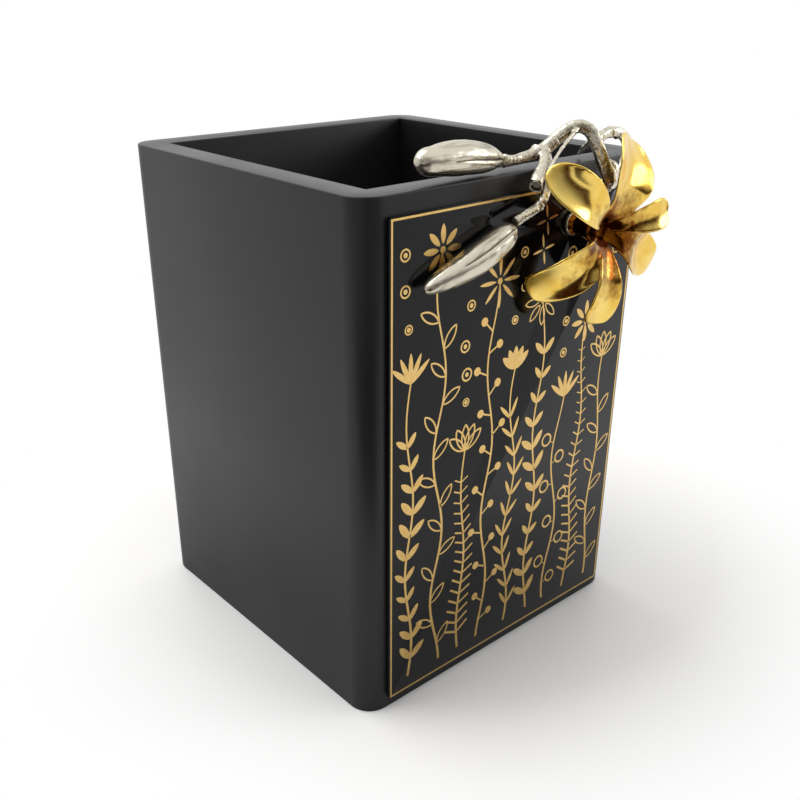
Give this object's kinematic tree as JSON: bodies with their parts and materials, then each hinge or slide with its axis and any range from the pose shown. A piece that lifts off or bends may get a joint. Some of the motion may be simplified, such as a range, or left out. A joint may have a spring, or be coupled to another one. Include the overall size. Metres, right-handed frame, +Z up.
{
  "type": "stationery holder",
  "caption": "Open square lacquered box for pens on a desk, with a glossy front plaque and a plated twig, buds and flower screwed to its upper corner.",
  "frame": {"origin": "centre of the box's square underside, on the surface that the box stands on", "axes": "+Z up, -Y out of the front face that carries the plaque, +X to the right seen from the front"},
  "size_m": [0.074, 0.0869, 0.1078],
  "materials": {
    "lacquer": "black satin lacquer on fibreboard",
    "plaque": "high gloss black sheet with gold print",
    "gold_print": "gold foil print",
    "adhesive": "thin adhesive film",
    "silver_plate": "antique silver plating, darkened in the grooves",
    "gold_plate": "polished gold plating, darker in the throat",
    "screw_steel": "zinc plated steel"
  },
  "bodies": {
    "root": {"front_wall": "lacquer", "back_wall": "lacquer", "left_wall": "lacquer", "right_wall": "lacquer", "base_board": "lacquer", "plaque_adhesive": "adhesive", "front_plaque": "plaque", "branch": "silver_plate", "upper_bud": "silver_plate", "lower_bud": "silver_plate", "flower": "gold_plate", "fixing_screw": "screw_steel"}
  },
  "joints": []
}
